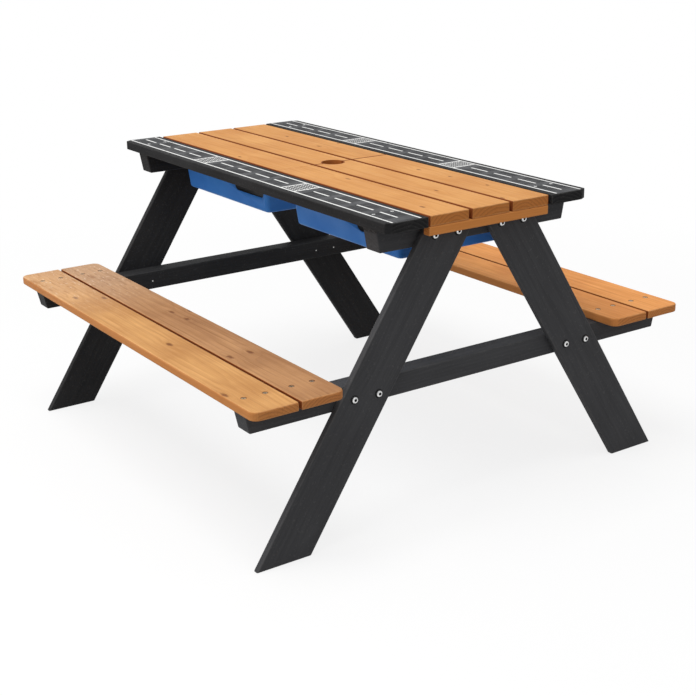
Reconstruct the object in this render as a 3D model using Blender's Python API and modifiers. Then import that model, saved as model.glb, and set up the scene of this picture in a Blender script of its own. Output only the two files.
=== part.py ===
"""A children's picnic table with two benches and a pair of sand and water tubs.

The table top is two fixed black side planks and two lift-off lids of three
honey-coloured planks each. A blue tub hangs by its rim below each lid. The
benches stand on two cross beams, and four splayed legs carry the beams and
the two top rails at the ends.

Lengths are in metres. X runs along the planks, Y across the table and Z up,
and the origin is on the floor below the middle of the table.
"""

import math

import bmesh
import bpy
from mathutils import Matrix

# Fit
FIT_GAP = 0.0003
CUT_OVERRUN = 0.005
WELD_DISTANCE = 0.00003

# Benches
SEAT_HEIGHT = 0.300
SEAT_THICKNESS = 0.016
SEAT_PLANK_WIDTH = 0.085
SEAT_PLANK_GAP = 0.005
SEAT_HALF_LENGTH = 0.483
SEAT_CORNER_RADIUS = 0.015
SEAT_CORNER_SEGMENTS = 5
SEAT_EDGE_RADIUS = 0.0025

# Table top
TABLE_HEIGHT = 0.560
TOP_THICKNESS = 0.018
TOP_PLANK_WIDTH = 0.084
TOP_PLANK_GAP = 0.005
SIDE_PLANK_OVERHANG = 0.004
SIDE_CUT_ALONG = 0.007
SIDE_CUT_ACROSS = 0.013
LID_PLANKS = ("front", "middle", "back")
LID_SEAM = 0.001
FINGER_HOLE_DIAMETER = 0.044
FINGER_HOLE_SIDES = 32

# Lid battens
BATTEN_WIDTH = 0.016
BATTEN_HEIGHT = 0.016
LEG_TO_BATTEN = 0.0115
STRIP_TO_BATTEN = 0.0017
HOLE_TO_BATTEN = 0.0025

# Rails under the table top and beams under the benches
MEMBER_WIDTH = 0.038
RAIL_HEIGHT = 0.042
RAIL_END_INSET = 0.0095
RAIL_END_SLANT = 0.008
BEAM_HEIGHT = 0.040
BEAM_END_INSET = 0.0115
BEAM_END_SLANT = 0.009

# Legs
LEG_FROM_BENCH_END = 0.0355
LEG_THICKNESS = 0.012
LEG_WIDTH = 0.0895
LEG_LEAN = math.radians(33.1)
LEG_TOP_GAP = 0.008
LEG_TO_BENCH = 0.037

# Edges of the boards
PLANK_EDGE_RADIUS = 0.002
PLANK_END_RADIUS = 0.0012
FRAME_EDGE_RADIUS = 0.002
EDGE_SEGMENTS = 2
ROUND_PROFILE_SHARE = 0.5
LONG_EDGE_ANGLE = math.radians(40)
SOFT_EDGE_ANGLE = math.radians(25)
QUARTER_TURN = math.radians(90)
SMOOTH_ANGLE = math.radians(35)
FLAT_ANGLE = math.radians(1)

# Bolts through the legs
BOLT_SPACING = 0.050
BOLT_TO_UNDERSIDE = 0.018
BOLT_DIAMETER = 0.006
BOLT_CLEARANCE = 0.0004
BOLT_HEAD_DIAMETER = 0.011
BOLT_HEAD_HEIGHT = 0.0036
BOLT_HEAD_CHAMFER = 0.001
BOLT_SOCKET_DIAMETER = 0.005
BOLT_SOCKET_DEPTH = 0.0022
BOLT_SIDES = 20
SOCKET_SIDES = 6

# Screws through the benches
SCREW_SPACING = 0.040
SCREW_LENGTH = 0.038
SCREW_TIP_LENGTH = 0.006
SCREW_DIAMETER = 0.004
SCREW_HEAD_DIAMETER = 0.008
SCREW_HEAD_HEIGHT = 0.0024
SCREW_SINK = 0.0005
SCREW_CLEARANCE = 0.0003
SCREW_RECESS_DIAMETER = 0.0036
SCREW_RECESS_DEPTH = 0.0014
SCREW_SIDES = 14
RECESS_SIDES = 4

# Tubs
TUB_DEPTH = 0.078
TUB_WALL = 0.0025
TUB_DRAFT = math.radians(6)
TUB_CORNER_RADIUS = 0.010
TUB_FLOOR_RADIUS = 0.005
TUB_CORNER_SEGMENTS = 4
TUB_FLOOR_SEGMENTS = 3
TUB_RIM_THICKNESS = 0.0025
TUB_RIM_SIDE = 0.0045
TUB_RIM_END = 0.003
TUB_TO_RAIL = 0.006
TUB_TO_BATTEN = 0.001
TUB_TO_SIDE_PLANK = 0.003

# Shallow grip recess in the front wall of each tub
GRIP_LENGTH = 0.114
GRIP_HEIGHT = 0.032
GRIP_DEPTH = 0.0012
GRIP_CORNER_RADIUS = 0.012
GRIP_ABOVE_FLOOR = 0.0285
GRIP_FROM_END = 0.017

# Strips that the tub rims rest on
STRIP_HEIGHT = 0.024
STRIP_UNDER_PLANK = 0.014
STRIP_TO_TUB = 0.0012
RIM_TO_REBATE = 0.001

# Levels and places that follow from the sizes above
TOP_UNDERSIDE = TABLE_HEIGHT - TOP_THICKNESS
RAIL_TOP = TOP_UNDERSIDE - FIT_GAP
RAIL_UNDERSIDE = RAIL_TOP - RAIL_HEIGHT
SEAT_UNDERSIDE = SEAT_HEIGHT - SEAT_THICKNESS
BEAM_TOP = SEAT_UNDERSIDE - FIT_GAP
BEAM_UNDERSIDE = BEAM_TOP - BEAM_HEIGHT
LEG_OUTER_X = SEAT_HALF_LENGTH - LEG_FROM_BENCH_END
LEG_INNER_X = LEG_OUTER_X - LEG_THICKNESS
MEMBER_OUTER_X = LEG_INNER_X - FIT_GAP
MEMBER_INNER_X = MEMBER_OUTER_X - MEMBER_WIDTH
MEMBER_MIDDLE_X = (MEMBER_OUTER_X + MEMBER_INNER_X) / 2
LID_END_X = LEG_OUTER_X + LEG_TO_BATTEN + BATTEN_WIDTH
LID_PITCH = TOP_PLANK_WIDTH + TOP_PLANK_GAP
LID_HALF_WIDTH = (len(LID_PLANKS) * LID_PITCH - TOP_PLANK_GAP) / 2
SIDE_PLANK_HALF_LENGTH = LID_END_X + SIDE_PLANK_OVERHANG
SIDE_PLANK_INNER_Y = LID_HALF_WIDTH + TOP_PLANK_GAP
RAIL_HALF_LENGTH = SIDE_PLANK_INNER_Y + TOP_PLANK_WIDTH - RAIL_END_INSET
LEG_FOOT_LENGTH = LEG_WIDTH / math.cos(LEG_LEAN)
LEG_SLOPE = math.tan(LEG_LEAN)
LEG_FOOT_Y = LEG_TOP_GAP / 2 + LEG_FOOT_LENGTH + RAIL_TOP * LEG_SLOPE
SEAT_INNER_Y = LEG_FOOT_Y - SEAT_HEIGHT * LEG_SLOPE + LEG_TO_BENCH
SEAT_OUTER_Y = SEAT_INNER_Y + 2 * SEAT_PLANK_WIDTH + SEAT_PLANK_GAP
BEAM_HALF_LENGTH = SEAT_OUTER_Y - BEAM_END_INSET
INNER_BATTEN_X = FINGER_HOLE_DIAMETER / 2 + HOLE_TO_BATTEN
TUB_RIM_OUTER_X = MEMBER_INNER_X - TUB_TO_RAIL
TUB_RIM_INNER_X = INNER_BATTEN_X + BATTEN_WIDTH + TUB_TO_BATTEN
TUB_MIDDLE_X = (TUB_RIM_OUTER_X + TUB_RIM_INNER_X) / 2
TUB_HALF_LENGTH = (TUB_RIM_OUTER_X - TUB_RIM_INNER_X) / 2 - TUB_RIM_END
TUB_RIM_HALF_WIDTH = SIDE_PLANK_INNER_Y - TUB_TO_SIDE_PLANK
TUB_HALF_WIDTH = TUB_RIM_HALF_WIDTH - TUB_RIM_SIDE
STRIP_INNER_Y = TUB_HALF_WIDTH + STRIP_TO_TUB
STRIP_OUTER_Y = SIDE_PLANK_INNER_Y + STRIP_UNDER_PLANK
INNER_BATTEN_HALF_LENGTH = STRIP_INNER_Y - STRIP_TO_BATTEN
REBATE_OUTER_Y = TUB_RIM_HALF_WIDTH + RIM_TO_REBATE
REBATE_DEPTH = TUB_RIM_THICKNESS + FIT_GAP

SIDES = {"left": -1, "right": 1}
FACINGS = {"front": -1, "back": 1}
PAIR = {"outer": 1, "inner": -1}
FLAT = (0.0, 0.0, 0.0)
FACING_X = (math.pi / 2, 0.0, math.pi / 2)


def clear_scene():
    """Remove every object that the startup scene holds."""
    for obj in list(bpy.data.objects):
        bpy.data.objects.remove(obj, do_unlink=True)


def make_collection(name):
    """A new collection in the scene."""
    collection = bpy.data.collections.new(name)
    bpy.context.scene.collection.children.link(collection)
    return collection


def make_material(name, colour, roughness, metallic=0.0):
    """A Principled material of one colour."""
    material = bpy.data.materials.new(name)
    material.use_nodes = True
    shader = material.node_tree.nodes["Principled BSDF"]
    shader.inputs["Base Color"].default_value = (*colour, 1.0)
    shader.inputs["Roughness"].default_value = roughness
    shader.inputs["Metallic"].default_value = metallic
    return material


def add_object(name, mesh, collection, place=FLAT, turn=FLAT):
    """An object for the mesh at its place and turn."""
    obj = bpy.data.objects.new(name, mesh)
    obj.location = place
    obj.rotation_euler = turn
    collection.objects.link(obj)
    return obj


def attach(obj, parent):
    """Parent a piece and keep its place in the world."""
    bpy.context.view_layer.update()
    obj.parent = parent
    obj.matrix_parent_inverse = parent.matrix_world.inverted()


def make_group(name, x=0.0, parent=None):
    """An empty that carries the pieces of one body, on the axis that the body lifts along."""
    empty = add_object(name, None, PARTS, (x, 0.0, RAIL_TOP))
    if parent:
        attach(empty, parent)
    return empty


def finish_piece(obj, material, parent):
    """Give a piece its material, its shading and its body."""
    obj.data.materials.clear()
    obj.data.materials.append(material)
    obj.data.shade_smooth()
    obj.data.set_sharp_from_angle(angle=SMOOTH_ANGLE)
    attach(obj, parent)
    return obj


def hide_cutter(obj):
    """Show a cutter as wire in the viewport and leave it out of renders."""
    obj.hide_render = True
    obj.display_type = "WIRE"
    return obj


def add_boolean(obj, other, operation="DIFFERENCE"):
    """Cut or join a piece with another mesh object."""
    boolean = obj.modifiers.new(other.name, "BOOLEAN")
    boolean.operation = operation
    boolean.object = other


def baked_mesh(name, *helpers):
    """The first helper's mesh with its modifiers applied. All the helpers are then removed."""
    bpy.context.view_layer.update()
    graph = bpy.context.evaluated_depsgraph_get()
    mesh = bpy.data.meshes.new_from_object(helpers[0].evaluated_get(graph))
    mesh.name = name
    for helper in helpers:
        bpy.data.objects.remove(helper)
    return mesh


def mesh_of(work, name):
    """A mesh made from the bmesh, which is then freed."""
    mesh = bpy.data.meshes.new(name)
    bmesh.ops.recalc_face_normals(work, faces=work.faces)
    work.to_mesh(mesh)
    work.free()
    return mesh


def board_mesh(name, outline, thickness):
    """A closed board: a flat outline in local XY, with its thickness along local Z."""
    curve = bpy.data.curves.new(name, "CURVE")
    curve.dimensions = "2D"
    curve.fill_mode = "BOTH"
    curve.extrude = thickness / 2
    spline = curve.splines.new("POLY")
    spline.points.add(len(outline) - 1)
    for point, (x, y) in zip(spline.points, outline):
        point.co = (x, y, 0.0, 1.0)
    spline.use_cyclic_u = True
    mesh = baked_mesh(name, add_object(name, curve, CUTTERS))
    work = bmesh.new()
    work.from_mesh(mesh)
    bmesh.ops.remove_doubles(work, verts=work.verts, dist=WELD_DISTANCE)
    bmesh.ops.dissolve_limit(work, angle_limit=FLAT_ANGLE, verts=work.verts, edges=work.edges)
    bmesh.ops.recalc_face_normals(work, faces=work.faces)
    work.to_mesh(mesh)
    work.free()
    return mesh


def round_edges(obj, radius, end_radius):
    """Round a board: the edges along its longest side by radius, and the others by end_radius.

    The upright edges between the segments of a rounded corner stay as they are.
    """
    mesh = obj.data
    length_axis = max(range(3), key=lambda axis: obj.dimensions[axis])
    work = bmesh.new()
    work.from_mesh(mesh)
    soft = {edge.index for edge in work.edges if edge.calc_face_angle() < SOFT_EDGE_ANGLE}
    work.free()
    weights = mesh.attributes.new("bevel_weight_edge", "FLOAT", "EDGE")
    for edge in mesh.edges:
        first, second = (mesh.vertices[index].co for index in edge.vertices)
        run = second - first
        is_long = abs(run[length_axis]) > run.length * math.cos(LONG_EDGE_ANGLE)
        weight = 1.0 if is_long else end_radius / radius
        weights.data[edge.index].value = 0.0 if edge.index in soft else weight
    bevel = obj.modifiers.new("rounded_edges", "BEVEL")
    bevel.width = radius
    bevel.segments = EDGE_SEGMENTS
    bevel.limit_method = "WEIGHT"


def add_board(name, outline, thickness, place, turn=FLAT, radius=None, end_radius=None):
    """A board with rounded edges, at its place."""
    obj = add_object(name, board_mesh(name, outline, thickness), PARTS, place, turn)
    bpy.context.view_layer.update()
    round_edges(obj, radius or PLANK_EDGE_RADIUS, end_radius or radius or PLANK_END_RADIUS)
    return obj


def plank_outline(half_length, half_width, corner=((0.0, 0.0),), corner_side=1):
    """A plank seen from above, with both corners of one long side shaped.

    The corner is a list of insets along and across the plank, from its end to the long side.
    """
    right = [
        (half_length - along, corner_side * (half_width - across)) for along, across in corner
    ]
    left = [(-x, y) for x, y in reversed(right)]
    plain_y = -corner_side * half_width
    return [(-half_length, plain_y), (half_length, plain_y), *right, *left]


def round_corner(radius, segments):
    """The insets of a rounded corner, from the end of a plank to its long side."""
    angles = [QUARTER_TURN * step / segments for step in range(segments + 1)]
    return [
        (radius - radius * math.cos(angle), radius - radius * math.sin(angle)) for angle in angles
    ]


def turned_mesh(name, profile, sides, socket_diameter=0.0, socket_sides=0, socket_depth=0.0):
    """A solid turned round local Z, from a profile of (radius, height) down its outer side.

    Where a socket is asked for, it is sunk into the profile's highest point.
    """
    mesh = bpy.data.meshes.new(name)
    points = [(radius, 0.0, height) for radius, height in profile]
    mesh.from_pydata(points, [(i, i + 1) for i in range(len(points) - 1)], [])
    body = add_object(name, mesh, CUTTERS)
    screw = body.modifiers.new("turned", "SCREW")
    screw.axis = "Z"
    screw.steps = sides
    screw.render_steps = sides
    screw.use_merge_vertices = True
    screw.merge_threshold = WELD_DISTANCE
    helpers = [body]
    if socket_depth:
        top = profile[0][1]
        drill = prism_mesh(name + "_socket", socket_diameter, socket_sides, 2 * socket_depth)
        helpers.append(add_object(name + "_socket", drill, CUTTERS, (0.0, 0.0, top)))
        add_boolean(body, helpers[1])
    return baked_mesh(name, *helpers)


def prism_mesh(name, diameter, sides, length):
    """A closed prism or cylinder along local Z, centred on the origin."""
    work = bmesh.new()
    bmesh.ops.create_cone(
        work,
        cap_ends=True,
        segments=sides,
        radius1=diameter / 2,
        radius2=diameter / 2,
        depth=length,
    )
    return mesh_of(work, name)


def make_cutter(name, mesh, places, turn=FLAT):
    """One hidden cutter that holds a turned copy of the mesh at each place."""
    matrix = Matrix.Rotation(turn[1], 3, "Y")
    work = bmesh.new()
    for place in places:
        before = set(work.verts)
        work.from_mesh(mesh)
        copy = [vert for vert in work.verts if vert not in before]
        bmesh.ops.rotate(work, verts=copy, cent=FLAT, matrix=matrix)
        bmesh.ops.translate(work, verts=copy, vec=place)
    return hide_cutter(add_object(name, mesh_of(work, name), CUTTERS))


def leg_middle_y(height):
    """How far from the middle of the table the centre of a leg is at a height."""
    return LEG_FOOT_Y - LEG_FOOT_LENGTH / 2 - height * LEG_SLOPE


def bolt_places(side, underside):
    """The (name, y, z) of the four bolts that hold a pair of legs to one member."""
    z = underside + BOLT_TO_UNDERSIDE
    return [
        (f"{side}_{facing}_{which}", sign * (leg_middle_y(z) + offset * BOLT_SPACING / 2), z)
        for facing, sign in FACINGS.items()
        for which, offset in PAIR.items()
    ]


def seat_plank_y(which):
    """How far from the middle of the table the centre of a bench plank is."""
    steps = 0 if which == "outer" else 1
    return SEAT_OUTER_Y - SEAT_PLANK_WIDTH / 2 - steps * (SEAT_PLANK_WIDTH + SEAT_PLANK_GAP)


def screw_places(side):
    """The (name, x, y) of the eight screws that hold the bench planks to one beam."""
    return [
        (
            f"{facing}_{plank}_plank_{side}_{which}",
            SIDES[side] * MEMBER_MIDDLE_X,
            sign * (seat_plank_y(plank) + offset * SCREW_SPACING / 2),
        )
        for facing, sign in FACINGS.items()
        for plank in PAIR
        for which, offset in PAIR.items()
    ]


def add_table_top(body, left_lid, right_lid):
    """The two fixed side planks and the planks and battens of the two lids."""
    middle_z = TABLE_HEIGHT - TOP_THICKNESS / 2
    cut_corner = ((0.0, SIDE_CUT_ACROSS), (SIDE_CUT_ALONG, 0.0))
    for facing, sign in FACINGS.items():
        outline = plank_outline(
            SIDE_PLANK_HALF_LENGTH, TOP_PLANK_WIDTH / 2, cut_corner, sign
        )
        y = sign * (SIDE_PLANK_INNER_Y + TOP_PLANK_WIDTH / 2)
        plank = add_board(f"{facing}_side_plank", outline, TOP_THICKNESS, (0.0, y, middle_z))
        finish_piece(plank, BLACK_WOOD, body)
    hole = prism_mesh(
        "finger_hole", FINGER_HOLE_DIAMETER, FINGER_HOLE_SIDES, TOP_THICKNESS + 2 * CUT_OVERRUN
    )
    drill = make_cutter("finger_hole", hole, [(0.0, 0.0, middle_z)])
    half_length = (LID_END_X - LID_SEAM / 2) / 2
    for side, lid in (("left", left_lid), ("right", right_lid)):
        x = SIDES[side] * (LID_END_X - half_length)
        for index, which in enumerate(LID_PLANKS):
            y = index * LID_PITCH + TOP_PLANK_WIDTH / 2 - LID_HALF_WIDTH
            plank = add_board(
                f"{side}_lid_{which}_plank",
                plank_outline(half_length, TOP_PLANK_WIDTH / 2),
                TOP_THICKNESS,
                (x, y, middle_z),
            )
            if which == "middle":
                add_boolean(plank, drill)
            finish_piece(plank, HONEY_WOOD, lid)
        add_lid_battens(side, lid)


def add_lid_battens(side, lid):
    """The battens across the underside of a lid, at its outer end and beside the finger hole."""
    z = RAIL_TOP - BATTEN_HEIGHT / 2
    battens = {
        "outer": (LID_END_X - BATTEN_WIDTH / 2, LID_HALF_WIDTH),
        "inner": (INNER_BATTEN_X + BATTEN_WIDTH / 2, INNER_BATTEN_HALF_LENGTH),
    }
    for which, (x, half_length) in battens.items():
        batten = add_board(
            f"{side}_lid_{which}_batten",
            plank_outline(BATTEN_WIDTH / 2, half_length),
            BATTEN_HEIGHT,
            (SIDES[side] * x, 0.0, z),
            end_radius=PLANK_END_RADIUS,
            radius=FRAME_EDGE_RADIUS,
        )
        finish_piece(batten, HONEY_WOOD, lid)


def member_outline(half_length, slant, height):
    """A rail or beam seen from its end of the table, with ends that slant in to the bottom."""
    return [
        (slant - half_length, -height / 2),
        (half_length - slant, -height / 2),
        (half_length, height / 2),
        (-half_length, height / 2),
    ]


def add_frame(body):
    """The rails, beams and legs, with the bolts that hold them together."""
    length = LEG_OUTER_X + FIT_GAP - MEMBER_INNER_X
    radius = BOLT_DIAMETER / 2
    head = BOLT_HEAD_DIAMETER / 2
    bolt = turned_mesh(
        "bolt",
        [
            (0.0, BOLT_HEAD_HEIGHT),
            (head - BOLT_HEAD_CHAMFER, BOLT_HEAD_HEIGHT),
            (head, BOLT_HEAD_HEIGHT - BOLT_HEAD_CHAMFER),
            (head, 0.0),
            (radius, 0.0),
            (radius, -length),
            (0.0, -length),
        ],
        BOLT_SIDES,
        BOLT_SOCKET_DIAMETER,
        SOCKET_SIDES,
        BOLT_SOCKET_DEPTH,
    )
    bore = prism_mesh(
        "bolt_bore",
        BOLT_DIAMETER + 2 * BOLT_CLEARANCE,
        BOLT_SIDES,
        LEG_THICKNESS + MEMBER_WIDTH + 2 * CUT_OVERRUN,
    )
    members = {
        "top_rail": (RAIL_HALF_LENGTH, RAIL_END_SLANT, RAIL_HEIGHT, RAIL_UNDERSIDE),
        "seat_beam": (BEAM_HALF_LENGTH, BEAM_END_SLANT, BEAM_HEIGHT, BEAM_UNDERSIDE),
    }
    for side, sign in SIDES.items():
        turn = (0.0, sign * math.pi / 2, 0.0)
        drills = []
        for member, (half_length, slant, height, underside) in members.items():
            places = bolt_places(side, underside)
            drill_x = sign * (LEG_OUTER_X + MEMBER_INNER_X) / 2
            drill = make_cutter(
                f"{side}_{member}_bores", bore, [(drill_x, y, z) for _, y, z in places], turn
            )
            drills.append(drill)
            piece = add_board(
                f"{side}_{member}",
                member_outline(half_length, slant, height),
                MEMBER_WIDTH,
                (sign * MEMBER_MIDDLE_X, 0.0, underside + height / 2),
                FACING_X,
                FRAME_EDGE_RADIUS,
            )
            add_boolean(piece, drill)
            finish_piece(piece, BLACK_WOOD, body)
            for name, y, z in places:
                place = (sign * (LEG_OUTER_X + FIT_GAP), y, z)
                fastener = add_object(f"{member}_bolt_{name}", bolt, PARTS, place, turn)
                finish_piece(fastener, ZINC_STEEL, body)
        add_legs(side, drills, body)


def add_legs(side, drills, body):
    """The two legs at one end of the table, drilled for their bolts."""
    reach = RAIL_TOP * LEG_SLOPE
    for facing, sign in FACINGS.items():
        outline = [
            (0.0, 0.0),
            (-sign * LEG_FOOT_LENGTH, 0.0),
            (-sign * (LEG_FOOT_LENGTH + reach), RAIL_TOP),
            (-sign * reach, RAIL_TOP),
        ]
        leg = add_board(
            f"{side}_{facing}_leg",
            outline,
            LEG_THICKNESS,
            (SIDES[side] * (LEG_OUTER_X + LEG_INNER_X) / 2, sign * LEG_FOOT_Y, 0.0),
            FACING_X,
            FRAME_EDGE_RADIUS,
        )
        for drill in drills:
            add_boolean(leg, drill)
        finish_piece(leg, BLACK_WOOD, body)


def screw_profile(clearance=0.0):
    """A countersunk screw's profile below its flat head, or its hole's with a clearance."""
    head = SCREW_HEAD_DIAMETER / 2 + clearance
    shank = SCREW_DIAMETER / 2 + clearance
    return [
        (head, 0.0),
        (shank, -SCREW_HEAD_HEIGHT),
        (shank, SCREW_TIP_LENGTH - SCREW_LENGTH - clearance),
        (0.0, -SCREW_LENGTH - 2 * clearance),
    ]


def add_benches(body):
    """The bench planks and the screws that hold them to the beams."""
    screw_z = SEAT_HEIGHT - SCREW_SINK
    screw = turned_mesh(
        "screw",
        [(0.0, 0.0), *screw_profile()],
        SCREW_SIDES,
        SCREW_RECESS_DIAMETER,
        RECESS_SIDES,
        SCREW_RECESS_DEPTH,
    )
    mouth = SCREW_SINK + CUT_OVERRUN
    mouth_radius = SCREW_HEAD_DIAMETER / 2 + SCREW_CLEARANCE
    bore = turned_mesh(
        "screw_bore",
        [(0.0, mouth), (mouth_radius, mouth), *screw_profile(SCREW_CLEARANCE)],
        SCREW_SIDES,
    )
    drills = []
    for side in SIDES:
        places = [(x, y, screw_z) for _, x, y in screw_places(side)]
        drill = make_cutter(f"{side}_screw_bores", bore, places)
        drills.append(drill)
        add_boolean(bpy.data.objects[f"{side}_seat_beam"], drill)
        for name, x, y in screw_places(side):
            fastener = add_object(f"bench_screw_{name}", screw, PARTS, (x, y, screw_z))
            finish_piece(fastener, SCREW_STEEL, body)
    corner = round_corner(SEAT_CORNER_RADIUS, SEAT_CORNER_SEGMENTS)
    for facing, sign in FACINGS.items():
        for which, outward in PAIR.items():
            outline = plank_outline(
                SEAT_HALF_LENGTH, SEAT_PLANK_WIDTH / 2, corner, sign * outward
            )
            plank = add_board(
                f"{facing}_bench_{which}_plank",
                outline,
                SEAT_THICKNESS,
                (0.0, sign * seat_plank_y(which), SEAT_HEIGHT - SEAT_THICKNESS / 2),
                radius=SEAT_EDGE_RADIUS,
            )
            for drill in drills:
                add_boolean(plank, drill)
            finish_piece(plank, BENCH_WOOD, body)


def add_tub_strips(body):
    """The two rebated strips below the side planks, which the tub rims rest on."""
    half_length = MEMBER_INNER_X - FIT_GAP
    for facing, sign in FACINGS.items():
        outline = [
            (sign * STRIP_OUTER_Y, 0.0),
            (sign * STRIP_OUTER_Y, -STRIP_HEIGHT),
            (sign * STRIP_INNER_Y, -STRIP_HEIGHT),
            (sign * STRIP_INNER_Y, -REBATE_DEPTH),
            (sign * REBATE_OUTER_Y, -REBATE_DEPTH),
            (sign * REBATE_OUTER_Y, 0.0),
        ]
        mesh = board_mesh(f"{facing}_tub_strip", outline, 2 * half_length)
        strip = add_object(mesh.name, mesh, PARTS, (0.0, 0.0, RAIL_TOP), FACING_X)
        finish_piece(strip, BLACK_WOOD, body)


def rounded_box(name, half_length, half_width, depth, draft, corner_radius, floor_radius):
    """A box that hangs down from local Z 0, with round upright edges and drafted walls."""
    inset = depth * math.tan(draft)
    floor_scale = (1 - inset / half_length, 1 - inset / half_width, 1.0)
    work = bmesh.new()
    bmesh.ops.create_cube(work, size=1.0)
    bmesh.ops.scale(work, verts=work.verts, vec=(2 * half_length, 2 * half_width, depth))
    bmesh.ops.translate(work, verts=work.verts, vec=(0.0, 0.0, -depth / 2))
    floor = [vert for vert in work.verts if vert.co.z < -depth / 2]
    bmesh.ops.scale(work, verts=floor, vec=floor_scale)
    heights = {edge: [vert.co.z for vert in edge.verts] for edge in work.edges}
    uprights = [edge for edge, (a, b) in heights.items() if abs(a - b) > depth / 2]
    bevel_edges(work, uprights, corner_radius, TUB_CORNER_SEGMENTS)
    if floor_radius:
        ring = [e for e in work.edges if max(vert.co.z for vert in e.verts) < -depth / 2]
        bevel_edges(work, ring, floor_radius, TUB_FLOOR_SEGMENTS)
    return mesh_of(work, name)


def bevel_edges(work, edges, radius, segments):
    """Round some edges of a bmesh."""
    bmesh.ops.bevel(
        work,
        geom=edges,
        offset=radius,
        offset_type="OFFSET",
        segments=segments,
        profile=ROUND_PROFILE_SHARE,
        affect="EDGES",
    )


def tub_mesh():
    """A tub that hangs by its rim, with its rim's top at local Z 0."""
    body_top = -TUB_RIM_THICKNESS / 2
    outer = rounded_box(
        "tub",
        TUB_HALF_LENGTH,
        TUB_HALF_WIDTH,
        TUB_DEPTH + body_top,
        TUB_DRAFT,
        TUB_CORNER_RADIUS,
        TUB_FLOOR_RADIUS,
    )
    rim = rounded_box(
        "tub_rim",
        TUB_HALF_LENGTH + TUB_RIM_END,
        TUB_RIM_HALF_WIDTH,
        TUB_RIM_THICKNESS,
        0.0,
        TUB_CORNER_RADIUS + TUB_RIM_END,
        0.0,
    )
    flare = CUT_OVERRUN * math.tan(TUB_DRAFT)
    hollow = rounded_box(
        "tub_hollow",
        TUB_HALF_LENGTH - TUB_WALL + flare,
        TUB_HALF_WIDTH - TUB_WALL + flare,
        TUB_DEPTH - TUB_WALL + CUT_OVERRUN,
        TUB_DRAFT,
        TUB_CORNER_RADIUS - TUB_WALL,
        TUB_FLOOR_RADIUS - TUB_WALL,
    )
    tub = add_object("tub", outer, CUTTERS, (0.0, 0.0, body_top))
    flange = add_object("tub_rim", rim, CUTTERS)
    inside = add_object("tub_hollow", hollow, CUTTERS, (0.0, 0.0, CUT_OVERRUN))
    grip = grip_cutter()
    add_boolean(tub, flange, "UNION")
    add_boolean(tub, inside)
    add_boolean(tub, grip)
    mesh = baked_mesh("tub", tub, flange, inside, grip)
    mesh.transform(Matrix.Translation((0.0, 0.0, body_top)))
    return mesh


def grip_cutter():
    """A rounded block that lies along the slope of a tub's front wall and sinks the recess."""
    z = GRIP_ABOVE_FLOOR + GRIP_HEIGHT / 2 - TUB_DEPTH
    wall_y = (TUB_RIM_THICKNESS / 2 + z) * -math.tan(TUB_DRAFT) - TUB_HALF_WIDTH
    block = rounded_box(
        "tub_grip",
        GRIP_LENGTH / 2,
        GRIP_HEIGHT / 2,
        GRIP_DEPTH + CUT_OVERRUN,
        0.0,
        GRIP_CORNER_RADIUS,
        0.0,
    )
    place = (
        TUB_HALF_LENGTH - GRIP_FROM_END - GRIP_LENGTH / 2,
        wall_y - CUT_OVERRUN * math.cos(TUB_DRAFT),
        z - CUT_OVERRUN * math.sin(TUB_DRAFT),
    )
    return add_object("tub_grip", block, CUTTERS, place, (math.pi / 2 + TUB_DRAFT, 0.0, 0.0))


def add_tubs(left_tub, right_tub):
    """The two tubs, alike and each carried by its own body."""
    mesh = tub_mesh()
    for side, body in (("left", left_tub), ("right", right_tub)):
        place = (SIDES[side] * TUB_MIDDLE_X, 0.0, RAIL_TOP)
        finish_piece(add_object(f"{side}_tub", mesh, PARTS, place), BLUE_PLASTIC, body)


clear_scene()
PARTS = make_collection("picnic_table")
CUTTERS = make_collection("picnic_table_cutters")

HONEY_WOOD = make_material("honey_wood", (0.72, 0.37, 0.15), 0.55)
BENCH_WOOD = make_material("bench_wood", (0.62, 0.33, 0.13), 0.6)
BLACK_WOOD = make_material("black_wood", (0.03, 0.03, 0.032), 0.5)
BLUE_PLASTIC = make_material("blue_plastic", (0.05, 0.13, 0.4), 0.35)
ZINC_STEEL = make_material("zinc_steel", (0.75, 0.75, 0.74), 0.3, 1.0)
SCREW_STEEL = make_material("screw_steel", (0.3, 0.24, 0.15), 0.4, 1.0)


def main():
    """Build the whole table."""
    frame = make_group("frame")
    tubs = [make_group(f"{side}_tub_body", sign * TUB_MIDDLE_X) for side, sign in SIDES.items()]
    lids = [
        make_group(f"{side}_lid_body", sign * TUB_MIDDLE_X, tub)
        for (side, sign), tub in zip(SIDES.items(), tubs)
    ]
    add_table_top(frame, *lids)
    add_frame(frame)
    add_benches(frame)
    add_tub_strips(frame)
    add_tubs(*tubs)


main()
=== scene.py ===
"""Looks and studio of a children's picnic table with two benches and two sand and water tubs.

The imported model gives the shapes. This scene gives every board, tub and bolt its
finish, adds the small screws, and sets up the floor, the lamps and the camera.
Lengths are in metres: X runs along the planks, Y across the table and Z up.
"""

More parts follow.
